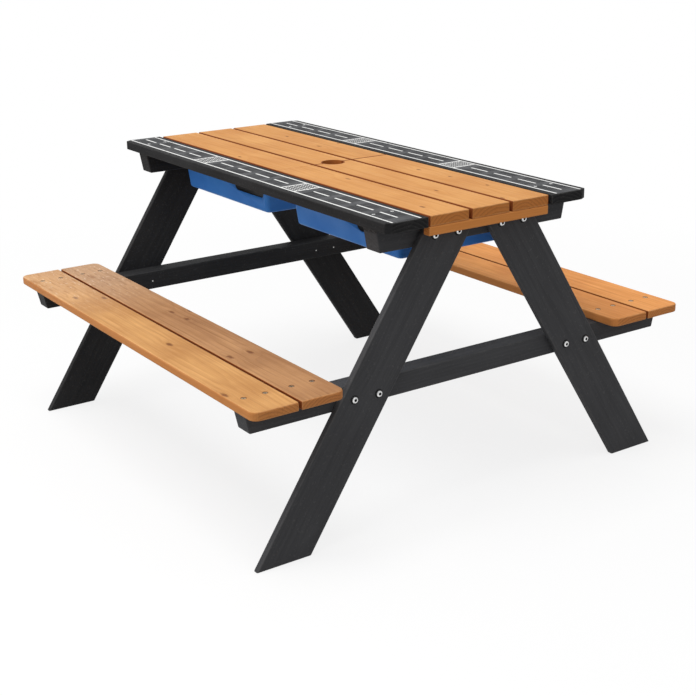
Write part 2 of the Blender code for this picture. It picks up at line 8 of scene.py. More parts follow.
import logging
import math
from collections.abc import Callable
from dataclasses import dataclass, replace
from enum import Enum
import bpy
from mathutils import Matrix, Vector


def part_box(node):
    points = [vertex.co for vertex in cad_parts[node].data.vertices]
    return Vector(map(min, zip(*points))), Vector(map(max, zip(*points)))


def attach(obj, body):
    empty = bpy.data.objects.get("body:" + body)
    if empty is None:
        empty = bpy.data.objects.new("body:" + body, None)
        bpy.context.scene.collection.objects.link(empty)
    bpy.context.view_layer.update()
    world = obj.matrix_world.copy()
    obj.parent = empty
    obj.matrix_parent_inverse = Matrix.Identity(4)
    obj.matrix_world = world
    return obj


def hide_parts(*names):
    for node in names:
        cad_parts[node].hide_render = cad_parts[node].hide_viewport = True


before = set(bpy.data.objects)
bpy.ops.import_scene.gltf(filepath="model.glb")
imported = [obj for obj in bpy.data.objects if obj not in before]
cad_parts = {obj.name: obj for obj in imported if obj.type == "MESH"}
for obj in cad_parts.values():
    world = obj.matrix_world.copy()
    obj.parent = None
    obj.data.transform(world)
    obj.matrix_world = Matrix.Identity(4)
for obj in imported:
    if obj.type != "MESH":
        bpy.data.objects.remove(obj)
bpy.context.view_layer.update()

from types import SimpleNamespace
from typing import Union

import bmesh
import bpy
from mathutils import Euler, Matrix, Vector

LOG = logging.getLogger("picnic_table")
MERGE_DISTANCE = 0.00001
LEG_OUTER_SIDE = 0.446
LEG_LEAN = math.radians(33.1)
PLAIN_WHITE = (1.0, 1.0, 1.0, 1.0)
NO_TURN = Euler((0.0, 0.0, 0.0))

Colour = tuple[float, float, float, float]
Triple = tuple[float, float, float]
Spots = tuple[tuple[float, float], ...]
Socket = bpy.types.NodeSocket
Value = Union["Wire", Socket, float, Vector, Colour, Triple]
Inputs = dict[str | int, Value]


class Named(Enum):
    """Options whose names are used in the names of pieces."""

    @property
    def word(self) -> str:
        """The option's name in small letters."""
        return self.name.lower()


class Side(Named):
    """The two ends of the table."""

    LEFT = -1
    RIGHT = 1


class Facing(Named):
    """The two long sides of the table."""

    FRONT = -1
    BACK = 1


class Lie(Enum):
    """Which way a board's length runs."""

    ALONG_TABLE = "x"
    ACROSS_TABLE = "y"
    FRONT_LEG = "front leg"
    BACK_LEG = "back leg"


def srgb(*parts: float) -> Colour:
    """A linear colour from red, green and blue, 0 to 255, as a picture program shows them."""
    shares = [part / 255 for part in parts]
    return (*(s / 12.92 if s <= 0.04045 else ((s + 0.055) / 1.055) ** 2.4 for s in shares), 1.0)


def title(name: str) -> str:
    """The name of a socket from the name of an argument: Ring Width for ring_width."""
    return name.replace("_", " ").title()


def add_object(name: str, data: bpy.types.ID) -> bpy.types.Object:
    """Put a new object into the scene.

    Args:
        name: The name of the object.
        data: Its mesh, lamp or camera.

    Returns:
        The object.
    """
    made = bpy.data.objects.new(name, data)
    bpy.context.scene.collection.objects.link(made)
    return made


def middle(node: str) -> Vector:
    """The middle of a node's box."""
    low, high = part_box(node)
    return (Vector(low) + Vector(high)) / 2


def span(node: str) -> Vector:
    """The size of a node's box."""
    low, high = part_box(node)
    return Vector(high) - Vector(low)


def math_method(operation: str, swapped: bool = False) -> Callable[..., "Wire"]:
    """A method of Wire that adds a Math node.

    Args:
        operation: Blender's name for what the node does.
        swapped: Whether the wire is the last value instead of the first.

    Returns:
        The method, which takes the other values.
    """

    def act(wire: "Wire", *others: Value) -> "Wire":
        """Add the node and return its result."""
        return wire.graph.math(operation, *((*others, wire) if swapped else (wire, *others)))

    return act


class Wire:
    """A value that a node tree works out. Arithmetic on it adds Math nodes to the tree."""

    __add__ = math_method("ADD")
    __sub__ = math_method("SUBTRACT")
    __rsub__ = math_method("SUBTRACT", swapped=True)
    __mul__ = math_method("MULTIPLY")
    __truediv__ = math_method("DIVIDE")
    __mod__ = math_method("FLOORED_MODULO")
    __pow__ = math_method("POWER")
    __abs__ = math_method("ABSOLUTE")
    least = math_method("MINIMUM")
    most = math_method("MAXIMUM")
    below = math_method("LESS_THAN")
    fraction = math_method("FRACT")
    floor = math_method("FLOOR")
    sign = math_method("SIGN")

    def __init__(self, graph: "Graph", socket: Socket) -> None:
        """Keep the graph and the output that carries the value."""
        self.graph = graph
        self.socket = socket

    def fade(self, start: Value, end: Value, low: float = 0.0, high: float = 1.0) -> "Wire":
        """A smooth step from low, where this value is at start, to high, where it is at end."""
        inputs = {"Value": self, "From Min": start, "From Max": end, "To Min": low, "To Max": high}
        return self.graph.value("ShaderNodeMapRange", inputs, interpolation_type="SMOOTHSTEP")


class Graph:
    """Adds nodes to one node tree and joins them up."""

    def __init__(self, tree: bpy.types.NodeTree) -> None:
        """Keep the tree that the nodes go into."""
        self.tree = tree

    def feed(self, node: bpy.types.Node, inputs: Inputs) -> None:
        """Give a node's inputs their links or plain values.

        Args:
            node: The node.
            inputs: What each named or numbered input gets.
        """
        for name, value in inputs.items():
            value = value.socket if isinstance(value, Wire) else value
            if isinstance(value, Socket):
                self.tree.links.new(value, node.inputs[name])
            else:
                node.inputs[name].default_value = value

    def node(self, kind: str, inputs: Inputs, **settings: object) -> bpy.types.Node:
        """Add a node.

        Args:
            kind: Blender's name for the kind of node.
            inputs: What each named or numbered input gets.
            **settings: Properties of the node, set before its inputs.

        Returns:
            The new node.
        """
        node = self.tree.nodes.new(kind)
        for name, value in settings.items():
            setattr(node, name, value)
        self.feed(node, inputs)
        return node

    def value(self, kind: str, inputs: Inputs, pick: str | int = 0, **settings: object) -> Wire:
        """Add a node and return the output that is picked."""
        return Wire(self, self.node(kind, inputs, **settings).outputs[pick])

    def wires(self, node: bpy.types.Node) -> SimpleNamespace:
        """A node's outputs, as attributes that are named in small letters."""
        named = [output for output in node.outputs if output.name]
        return SimpleNamespace(**{o.name.lower().replace(" ", "_"): Wire(self, o) for o in named})

    def group(self, tree: bpy.types.NodeTree, **inputs: Value) -> SimpleNamespace:
        """Place a shared node group and return its outputs."""
        titled = {title(name): value for name, value in inputs.items()}
        return self.wires(self.node("ShaderNodeGroup", titled, node_tree=tree))

    def math(self, operation: str, *values: Value) -> Wire:
        """A Math node's result."""
        return self.value("ShaderNodeMath", dict(enumerate(values)), operation=operation)

    def vector(self, operation: str, *values: Value, pick: str = "Vector") -> Wire:
        """A Vector Math node's result."""
        inputs = dict(enumerate(values))
        return self.value("ShaderNodeVectorMath", inputs, pick, operation=operation)

    def length(self, *parts: Value) -> Wire:
        """The length of a vector that is given by its X and Y, and Z if it has one."""
        return self.vector("LENGTH", self.join(*parts), pick="Value")

    def split(self, vector: Value) -> list[Wire]:
        """The X, Y and Z parts of a vector."""
        node = self.node("ShaderNodeSeparateXYZ", {0: vector})
        return [Wire(self, part) for part in node.outputs]

    def join(self, x: Value, y: Value, z: Value = 0.0) -> Wire:
        """A vector made of three numbers."""
        return self.value("ShaderNodeCombineXYZ", {0: x, 1: y, 2: z})

    def here(self) -> Wire:
        """The shaded point, in the table's own coordinates."""
        return self.value("ShaderNodeTexCoord", {}, "Object")

    def facing(self, kind: str = "True Normal") -> list[Wire]:
        """The X, Y and Z parts of the direction that the surface faces."""
        return self.split(self.value("ShaderNodeNewGeometry", {}, kind))

    def mix(self, share: Value, first: Value, second: Value) -> Wire:
        """The first colour with a share, kept between 0 and 1, of the second one over it."""
        return self.value("ShaderNodeMix", {0: share, 6: first, 7: second}, 2, data_type="RGBA")

    def noise(
        self,
        place: Value,
        seed: Value,
        stretch: Triple | None = None,
        scale: float = 1.0,
        detail: float = 2.0,
        rough: float = 0.5,
    ) -> Wire:
        """Seeded noise from 0 to 1.

        Args:
            place: Where the noise is read.
            seed: The fourth coordinate, which picks one noise out of many.
            stretch: Features per metre along X, Y and Z, if they differ.
            scale: A factor on all four coordinates.
            detail: How many finer layers are added.
            rough: The weight of each finer layer.

        Returns:
            The noise as one number.
        """
        place = self.vector("MULTIPLY", place, stretch) if stretch else place
        inputs = {"Vector": place, "W": seed, "Scale": scale, "Detail": detail, "Roughness": rough}
        return self.value("ShaderNodeTexNoise", inputs, noise_dimensions="4D")

    def nearest(self, x: Value, y: Value, spots: Spots) -> Wire:
        """The distance from a place in a plane to the nearest of up to four spots."""
        centres = {f"centre_{index}": (*spots[index % len(spots)], 0.0) for index in range(4)}
        return self.group(GROUPS.centres, vector=self.join(x, y), **centres).distance


class SharedGroups:
    """The shader node groups that several finishes use, each built once.

    The triples say how many features of a noise fit in a metre along, across and through a
    board, and the knot cells how many knots do. A knot's halo is where it bends the rings.
    """

    SWAY = (2.4, 7.0, 7.0)
    FINE_FIBRES = (9.0, 520.0, 520.0)
    BROAD_FIBRES = (5.0, 120.0, 120.0)
    LONG_STREAKS = (2.6, 230.0, 230.0)
    KNOT_CELLS = (5.2, 13.0)
    KNOT_CRUMPLE = 0.006
    KNOT_HALO = 0.022
    RING_BEND = 0.006
    RING_SHARE = 0.35
    TIP_REACH = 0.0026
    END_REACH = 0.0016
    TOP_REACH = 0.0012

    def __init__(self) -> None:
        """Build every group."""
        self.grain = self.build_grain()
        self.edges = self.build_edges()
        self.grime = self.build_grime()
        self.centres = self.build_centres()

    @staticmethod
    def begin(name: str, **inputs: float | None) -> tuple[Graph, SimpleNamespace]:
        """Start a group.

        Args:
            name: The name of the group.
            **inputs: Each input's default value, or None for a vector.

        Returns:
            The graph and its inputs.
        """
        tree = bpy.data.node_groups.new(name, "ShaderNodeTree")
        for argument, default in inputs.items():
            kind = "NodeSocketVector" if default is None else "NodeSocketFloat"
            socket = tree.interface.new_socket(title(argument), in_out="INPUT", socket_type=kind)
            if default is not None:
                socket.default_value = default
        graph = Graph(tree)
        return graph, graph.wires(graph.node("NodeGroupInput", {}))

    @staticmethod
    def complete(graph: Graph, **results: Wire) -> bpy.types.NodeTree:
        """Give a group its outputs.

        Args:
            graph: The graph of the group.
            **results: What each output gets. All of them are numbers.

        Returns:
            The group.
        """
        titled = {title(name): value for name, value in results.items()}
        for name in titled:
            graph.tree.interface.new_socket(name, in_out="OUTPUT", socket_type="NodeSocketFloat")
        graph.node("NodeGroupOutput", titled)
        return graph.tree

    def build_grain(self) -> bpy.types.NodeTree:
        """Growth rings round a pith that runs beside the board, with fibres and knots.

        Returns:
            The group.
        """
        graph, given = self.begin(
            "board_grain",
            vector=None,
            seed=0.0,
            ring_width=0.005,
            pith_across=0.01,
            pith_depth=0.05,
            wobble=0.03,
            knot_share=0.2,
            knot_distance=1.0,
            knot_size=0.0045,
        )
        place, seed, knot_size = given.vector, given.seed, given.knot_size
        x, y, z = graph.split(place)
        along, across = self.KNOT_CELLS
        cells = {"Vector": graph.join(x * along + seed * 3.71, y * across + seed * 5.37)}
        cells["Scale"] = 1.0
        scattered = graph.wires(graph.node("ShaderNodeTexVoronoi", cells, voronoi_dimensions="2D"))
        chance, size, _ = graph.split(scattered.color)
        chosen = chance.below(given.knot_share)
        reach = size * 0.045 + 0.03
        crumple = (graph.noise(place, seed, scale=160.0) - 0.5) * self.KNOT_CRUMPLE
        placed = crumple + given.knot_distance
        core = scattered.distance.fade(reach, reach * 0.4) * chosen
        core = core.most(placed.fade(knot_size, knot_size * 0.25))
        halo = scattered.distance.fade(0.4, 0.0) * chosen
        halo = halo.most(placed.fade(self.KNOT_HALO, 0.0))
        slow = graph.noise(place, seed, self.SWAY, detail=3.0)
        sway = slow - 0.5
        depth = z + given.pith_depth + halo * self.RING_BEND + sway * given.wobble
        radius = graph.length(y + given.pith_across, depth)
        phase = (radius / given.ring_width + slow * 1.7).fraction()
        rings = (phase ** 2.4).least((1.0 - phase) * 5.0)
        fine = graph.noise(place, seed, self.FINE_FIBRES, rough=0.6)
        broad = graph.noise(place, seed + 4.0, self.BROAD_FIBRES, detail=1.0)
        fibre = (broad * 0.5 + fine * 0.5).fade(0.34, 0.66)
        streaks = (sway * 0.22 + graph.noise(place, seed + 9.0, self.LONG_STREAKS)).fade(0.56, 0.72)
        height = rings * self.RING_SHARE + fibre * (1 - self.RING_SHARE) - core
        masks = {"rings": rings, "fibre": fibre, "streaks": streaks, "knots": core}
        return self.complete(graph, height=height, **masks)

    def build_edges(self) -> bpy.types.NodeTree:
        """Masks for a board's edges, end faces and top, and signed ones for its sides and tips.

        Returns:
            The group.
        """
        graph, given = self.begin(
            "board_edges",
            vector=None,
            half_length=0.4,
            half_width=0.04,
            half_thickness=0.008,
            reach=0.003,
            raggedness=0.5,
            joint_reach=0.0022,
            seed=0.0,
        )
        x, y, z = graph.split(given.vector)
        from_end = given.half_length - abs(x)
        from_side = given.half_width - abs(y)
        from_face = given.half_thickness - abs(z)
        nearest = from_end.least(from_side).most(from_end.most(from_side).least(from_face))
        rag = graph.noise(given.vector, given.seed, scale=70.0, detail=3.0) - 0.5
        ragged = rag * given.raggedness * given.reach + nearest
        return self.complete(
            graph,
            edge=ragged.fade(given.reach, 0.0),
            end=from_end.fade(self.END_REACH, self.END_REACH / 2),
            top=(z - given.half_thickness).fade(-self.TOP_REACH, -self.TOP_REACH / 3),
            flank=from_side.fade(given.joint_reach, given.joint_reach - 0.001) * y.sign(),
            tip=from_end.fade(self.TIP_REACH, 0.0014) * x.sign(),
        )

    def build_grime(self) -> bpy.types.NodeTree:
        """Broad uneven patches and small specks, for dust and handling marks.

        Returns:
            The group.
        """
        graph, given = self.begin(
            "grime", vector=None, seed=0.0, patch_scale=9.0, speck_scale=260.0, speck_share=0.3
        )
        places = []
        for scale in (given.patch_scale, given.speck_scale):
            inputs = {0: given.vector, "Scale": scale}
            places.append(graph.value("ShaderNodeVectorMath", inputs, operation="SCALE"))
        limit = given.speck_share * -0.3 + 0.78
        patches = graph.noise(places[0], given.seed, detail=4.0).fade(0.3, 0.7)
        specks = graph.noise(places[1], given.seed, detail=1.0).fade(limit, limit + 0.05)
        return self.complete(graph, patches=patches, specks=specks)

    def build_centres(self) -> bpy.types.NodeTree:
        """The distance, in the XY plane, to the nearest of four centres.

        Returns:
            The group.
        """
        names = [f"centre_{index}" for index in range(4)]
        graph, given = self.begin("nearest_centre", vector=None, **dict.fromkeys(names))
        nearest, *others = (
            graph.vector("DISTANCE", given.vector, getattr(given, name), pick="Value")
            for name in names
        )
        for distance in others:
            nearest = nearest.least(distance)
        return self.complete(graph, distance=nearest)


GROUPS = SharedGroups()


@dataclass(frozen=True)
class Board:
    """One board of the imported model, with axes of its own: X along it, Y across and Z through it.

    The joints are the long sides, -1 or 1, that face another board across a narrow gap, and
    the butt is the end that does. The knots are places along and across the board. The hole
    is the round finger hole in the middle of the table top, for the boards that it cuts.
    """

    node: str
    lie: Lie
    seed: float
    joints: tuple[int, ...] = ()
    butt: int = 0
    knots: Spots = ()
    hole_radius: float = 0.0

    @property
    def turn(self) -> Euler:
        """The turn from the table's axes to the board's own.

        Returns:
            The turn.
        """
        if self.lie in (Lie.ALONG_TABLE, Lie.ACROSS_TABLE):
            return Euler((0.0, 0.0, 0.0 if self.lie is Lie.ALONG_TABLE else math.pi / 2))
        sign = Facing.FRONT.value if self.lie is Lie.FRONT_LEG else Facing.BACK.value
        along = Vector((0.0, -sign * math.sin(LEG_LEAN), math.cos(LEG_LEAN)))
        through = Vector((1.0, 0.0, 0.0))
        return Matrix((along, through.cross(along), through)).transposed().to_euler()

    @property
    def half_size(self) -> Vector:
        """Half the board's length, width and thickness.

        Returns:
            The three lengths.
        """
        size = span(self.node)
        if self.lie is Lie.ALONG_TABLE:
            return size / 2
        if self.lie is Lie.ACROSS_TABLE:
            return Vector((size.y, size.x, size.z)) / 2
        foot = size.y - size.z * math.tan(LEG_LEAN)
        length = size.z / math.cos(LEG_LEAN) + foot * math.sin(LEG_LEAN)
        return Vector((length, foot * math.cos(LEG_LEAN), size.x)) / 2


def cover(node: str, material: bpy.types.Material) -> None:
    """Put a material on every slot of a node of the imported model."""
    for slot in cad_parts[node].material_slots:
        slot.material = material


class Surface:
    """A new material whose colour is painted on layer by layer."""

    def __init__(self, name: str, base: Colour) -> None:
        """Make the material.

        Args:
            name: The name of the material.
            base: The first colour.
        """
        self.material = bpy.data.materials.new(name)
        self.material.use_nodes = True
        self.graph = Graph(self.material.node_tree)
        self.shader = self.material.node_tree.nodes["Principled BSDF"]
        self.colour: Value = base

    def axes(self, centre: Vector, turn: Euler = NO_TURN) -> Wire:
        """The shaded point from a centre, along the axes of a piece that may be turned."""
        inputs = {"Vector": self.graph.here(), "Location": centre, "Rotation": turn}
        return self.graph.value("ShaderNodeMapping", inputs, vector_type="TEXTURE")

    def paint(self, share: Value, colour: Value) -> None:
        """Blend a colour over what is painted so far."""
        self.colour = self.graph.mix(share, self.colour, colour)

    def finish(
        self, roughness: Value, shine: float, relief: Wire, depth: float
    ) -> bpy.types.Material:
        """Feed the shader.

        Args:
            roughness: How rough the surface is.
            shine: The level of its reflections.
            relief: The relief, from 0 to 1.
            depth: How deep the relief is, in metres.

        Returns:
            The finished material.
        """
        bump = {"Height": relief, "Distance": depth, "Strength": 1.0}
        normal = self.graph.value("ShaderNodeBump", bump)
        self.graph.feed(self.shader, {"Base Color": self.colour, "Normal": normal})
        self.graph.feed(self.shader, {"Roughness": roughness, "Specular IOR Level": shine})
        return self.material


class BoardSurface(Surface):
    """The surface of one board, with the shared masks that follow the board's own axes."""

    def __init__(self, board: Board, slot: str, base: Colour) -> None:
        """Start the material of a board.

        Args:
            board: The board, whose seed picks its own rings, knots and patches.
            slot: The name of the finish.
            base: The first colour.
        """
        super().__init__(f"{board.node}_{slot}", base)
        self.board = board
        self.place = self.axes(middle(board.node), board.turn)

    def read(self, tree: bpy.types.NodeTree, **inputs: Value) -> SimpleNamespace:
        """The masks that a shared group makes on the board's own axes."""
        return self.graph.group(tree, vector=self.place, seed=self.board.seed, **inputs)

    def edges(self, **inputs: float) -> SimpleNamespace:
        """The masks that follow the shape of the board."""
        sizes = dict(zip(("half_length", "half_width", "half_thickness"), self.board.half_size))
        return self.read(GROUPS.edges, **sizes, **inputs)

    def grime(self, speck_scale: float = 260.0) -> SimpleNamespace:
        """The masks of the patches and specks."""
        return self.read(GROUPS.grime, speck_scale=speck_scale, speck_share=0.5)


@dataclass(frozen=True)
class BareWood:
    """Clear-oiled softwood with growth rings, fibres, knots and end grain, a painted highlight along
    its softened edges, and painted shade on its upright faces and round the finger hole.

    The shares say how much of each layer shows, from 0 to 1. The worn end, -1 or 1, is
    scratched and greyer, and 0 stands for none.
    """

    slot: str
    light: Colour
    dark: Colour
    end: Colour
    pale_edge: Colour
    knot: Colour = srgb(110, 58, 24)
    joint: Colour = srgb(132, 66, 26)
    scratch: Colour = srgb(240, 214, 186)
    ring_width: float = 0.0062
    ring_share: float = 0.4
    fibre_share: float = 0.25
    streak_share: float = 0.15
    patch_share: float = 0.3
    end_share: float = 0.85
    end_ring_share: float = 0.55
    edge_share: float = 0.5
    side_share: float = 0.5
    knot_share: float = 0.16
    knot_strength: float = 0.8
    knot_stretch: float = 2.4
    knot_size: float = 0.0038
    joint_reach: float = 0.0022
    relief: float = 0.0003
    roughness: float = 0.6
    shine: float = 0.15
    worn_end: int = 0
    worn_share: float = 0.22
    ridge_share: float = 0.6
    scratch_share: float = 0.7
    screw_places: Spots = ()
    screw_radius: float = 0.004
    screw_share: float = 0.85
    worn_edge: float = 0.0026
    raggedness: float = 0.8
    pith_sway: float = 0.022
    pith_depth: float = 0.05
    speck_scale: float = 700.0

    def dress(self, board: Board) -> None:
        """Give a board this wood.

        Args:
            board: The board.
        """
        surface = BoardSurface(board, self.slot, self.light)
        graph = surface.graph
        reaches = {"reach": self.worn_edge, "joint_reach": self.joint_reach}
        edges = surface.edges(raggedness=self.raggedness, **reaches)
        grain = surface.read(
            GROUPS.grain,
            ring_width=self.ring_width,
            pith_across=self.pith_sway * math.sin(board.seed * 2.3),
            pith_depth=self.pith_depth * (1 + math.cos(board.seed * 1.7) / 2),
            knot_share=self.knot_share,
            knot_distance=self.knot_distance(surface),
            knot_size=self.knot_size,
        )
        grime = surface.grime(self.speck_scale)
        surface.paint(grain.rings * self.ring_share, self.dark)
        surface.paint(grain.fibre * self.fibre_share, self.dark)
        surface.paint(grime.patches * self.patch_share, self.dark)
        surface.paint(grain.streaks * self.streak_share, self.knot)
        speckle = grain.rings * self.end_ring_share + grime.specks * 0.5
        surface.paint(edges.end * self.end_share, graph.mix(speckle, self.end, self.knot))
        surface.paint(grain.knots * self.knot_strength, self.knot)
        # Painted highlight: a paler, ragged band along the rounded edges and arrises.
        surface.paint(edges.edge * self.edge_share, self.pale_edge)
        if self.worn_end:
            self.wear(surface)
        # Painted shade in the finger hole: its wall and a narrow ring round it get the dark joint
        # colour.
        if board.hole_radius:
            x, y, _ = graph.split(graph.here())
            hole_shade = graph.length(x, y).fade(board.hole_radius + 0.0022, board.hole_radius + 0.001)
            surface.paint(hole_shade, self.joint)
        # Painted shade: the upright faces, apart from the end faces, are darkened towards the
        # end-grain colour.
        upright_shade = abs(graph.facing()[2]).fade(0.7, 0.3, 0.0, self.side_share)
        surface.paint(upright_shade * (1.0 - edges.end), self.end)
        for sign in board.joints:
            surface.paint(edges.flank * float(sign), self.joint)
        if board.butt:
            surface.paint(edges.tip * float(board.butt), self.joint)
        if self.screw_places:
            near = screw_distance(graph, self.screw_places)
            ring = near.fade(self.screw_radius * 1.5, self.screw_radius * 1.1)
            surface.paint(ring * self.screw_share, self.knot)
        rough = grain.fibre * 0.12 + self.roughness
        cover(board.node, surface.finish(rough, self.shine, grain.height, self.relief))

    def wear(self, surface: BoardSurface) -> None:
        """Add pale scratches and grey streaks towards the worn end of a board.

        Args:
            surface: The surface of the board.
        """
        graph, place, seed = surface.graph, surface.place, surface.board.seed
        half = surface.board.half_size.x
        near_end = (graph.split(place)[0] * float(self.worn_end)).fade(0.15 * half, 0.85 * half)
        ridges = graph.noise(place, seed + 2.0, (26.0, 150.0, 60.0), detail=3.0)
        scratches = graph.noise(place, seed + 7.0, (70.0, 260.0, 90.0), detail=4.0, rough=0.7)
        surface.paint(near_end * self.worn_share, self.scratch)
        surface.paint(ridges.fade(0.52, 0.66) * near_end * self.ridge_share, self.dark)
        surface.paint(scratches.fade(0.56, 0.66) * near_end * self.scratch_share, self.scratch)

    def knot_distance(self, surface: BoardSurface) -> Value:
        """The distance to the nearest of a board's own knots, which are drawn out along it.

        Args:
            surface: The surface of the board.

        Returns:
            The distance, or a far value for a board without such knots.
        """
        if not surface.board.knots:
            return 1.0
        x, y, _ = surface.graph.split(surface.place)
        spots = tuple((along / self.knot_stretch, across) for along, across in surface.board.knots)
        return surface.graph.nearest(x / self.knot_stretch, y, spots)


@dataclass(frozen=True)
class RoadPrint:
    """White road markings on a side plank: edge lines, dashes and two chequered crossings."""

    shift: float = 0.0
    line_from_middle: float = 0.0285
    line_width: float = 0.0038
    line_half_length: float = 0.475
    dash_pitch: float = 0.0665
    dash_length: float = 0.048
    dashes_from_middle: int = 7
    crossing_from_middle: float = 0.165
    crossing_half_width: float = 0.024
    border: float = 0.004
    check_columns: int = 6
    check_rows: int = 7
    spot_share: float = 0.48
    spot_blur: float = 0.08
    blur: float = 0.0004

    def bar(self, value: Wire, centre: float, half: float) -> Wire:
        """A mask with a soft border that is 1 where a value is within half of the centre."""
        return abs(value - centre).fade(half + self.blur, half - self.blur)

    def spots(self, along: Wire, y: Wire) -> Wire:
        """The dark spots of a crossing, with every second row moved by half a spot.

        Args:
            along: The distance along the plank from its middle.
            y: The place across the plank.

        Returns:
            1 in a spot and 0 elsewhere.
        """
        half = self.crossing_half_width - self.border
        row = (y + self.line_from_middle) / (2 * self.line_from_middle / self.check_rows)
        column = (along - (self.crossing_from_middle - half)) / (2 * half / self.check_columns)
        column += row.floor() % 2.0 * 0.5
        away = along.graph.length(column.fraction() - 0.5, row.fraction() - 0.5)
        spot = away.fade(self.spot_share + self.spot_blur, self.spot_share - self.spot_blur)
        return spot * self.bar(along, self.crossing_from_middle, half)

    def masks(self, place: Wire) -> tuple[Wire, Wire, Wire]:
        """The areas of a plank that the print changes.

        Args:
            place: The plank's own coordinates.

        Returns:
            The white print, the grey road, and its paler stretches between two dashes.
        """
        x, y, _ = place.graph.split(place)
        across, along = abs(y), abs(x - self.shift)
        from_dash = (along / self.dash_pitch).fraction() - 0.5
        road = self.bar(across, 0.0, self.line_from_middle)
        lines = self.bar(across, self.line_from_middle, self.line_width / 2)
        lines *= self.bar(abs(x), 0.0, self.line_half_length)
        dashes = self.bar(from_dash * self.dash_pitch, 0.0, self.dash_length / 2)
        dashes *= self.bar(across, 0.0, self.line_width / 2)
        dashes *= self.bar(along, 0.0, self.dashes_from_middle * self.dash_pitch)
        crossing = self.bar(along, self.crossing_from_middle, self.crossing_half_width)
        filled = crossing * road * (1.0 - self.spots(along, y))
        white = lines.most(dashes * (1.0 - crossing)).most(filled)
        return white, road, abs(from_dash).fade(0.3, 0.42)


@dataclass(frozen=True)
class BlackWood:
    """Softwood under a thin black stain, with grain that shows through, lighter worn edges and
    painted shade round the bolt heads.
    """

    slot: str = "black_wood"
    stain: Colour = srgb(44, 44, 45)
    grain: Colour = srgb(60, 60, 61)
    worn: Colour = srgb(96, 95, 94)
    end: Colour = srgb(22, 22, 23)
    road: Colour = srgb(46, 47, 49)
    road_streak: Colour = srgb(100, 101, 103)
    white: Colour = srgb(244, 244, 242)
    bolt_ring: Colour = srgb(12, 12, 12)
    bolt_places: Spots = ()
    bolt_radius: float = 0.0055
    bolt_share: float = 0.8
    ring_share: float = 0.35
    fibre_share: float = 0.5
    patch_share: float = 0.25
    end_share: float = 0.6
    worn_share: float = 0.3
    speck_share: float = 0.2
    relief: float = 0.00025
    roughness: float = 0.6
    shine: float = 0.08

    def dress(self, board: Board, markings: RoadPrint | None = None) -> None:
        """Give a board this stain.

        Args:
            board: The board.
            markings: The print on its top face, if it has one.
        """
        surface = BoardSurface(board, self.slot, self.stain)
        graph = surface.graph
        edges = surface.edges(reach=0.0028, raggedness=1.6)
        grain = surface.read(
            GROUPS.grain,
            ring_width=0.006,
            pith_across=0.02 * math.sin(board.seed),
            pith_depth=0.06,
            knot_share=0.12,
        )
        grime = surface.grime()
        streaks = grain.rings * self.ring_share + grain.fibre * self.fibre_share
        surface.paint(streaks, self.grain)
        white = None
        if markings:
            on_top = graph.facing("Normal")[2].fade(0.5, 0.9) * edges.top
            white, paved, gaps = (on_top * mask for mask in markings.masks(surface.place))
            ridges = graph.noise(surface.place, board.seed + 4.0, (330.0, 22.0, 22.0), detail=1.0)
            paler = (gaps * 0.45 + streaks * 0.5).most(grain.streaks * 0.8)
            paler += ridges.fade(0.48, 0.6) * 0.3
            surface.paint(paved, graph.mix(paler, self.road, self.road_streak))
        surface.paint(grime.patches * self.patch_share, self.stain)
        surface.paint(edges.end * self.end_share, self.end)
        surface.paint(edges.end * grain.rings * self.worn_share, self.worn)
        surface.paint(edges.edge * self.worn_share, self.worn)
        surface.paint(grime.specks * self.speck_share, self.worn)
        if white:
            thick_enough = (grain.fibre * 0.5 + grime.specks).fade(1.6, 0.9)
            surface.paint(white * thick_enough, self.white)
        # Painted shade: a dark ring round each bolt head on the legs' outer faces.
        if self.bolt_places:
            near = bolt_distance(graph, self.bolt_places)
            ring = near.fade(self.bolt_radius * 1.7, self.bolt_radius * 1.2)
            surface.paint(ring * self.bolt_share, self.bolt_ring)
        rough = grime.patches * 0.12 + self.roughness
        cover(board.node, surface.finish(rough, self.shine, grain.height, self.relief))


def screw_distance(graph: Graph, places: Spots) -> Wire:
    """The distance, seen from above, to the nearest bench screw's axis."""
    x, y, _ = graph.split(graph.here())
    return graph.nearest(abs(x), abs(y), places)


def bolt_distance(graph: Graph, places: Spots) -> Wire:
    """The distance to the nearest bolt's axis, and 1 m more away from the legs' outer faces."""
    x, y, z = graph.split(graph.here())
    return graph.nearest(abs(y), z, places) + abs(x).below(LEG_OUTER_SIDE)


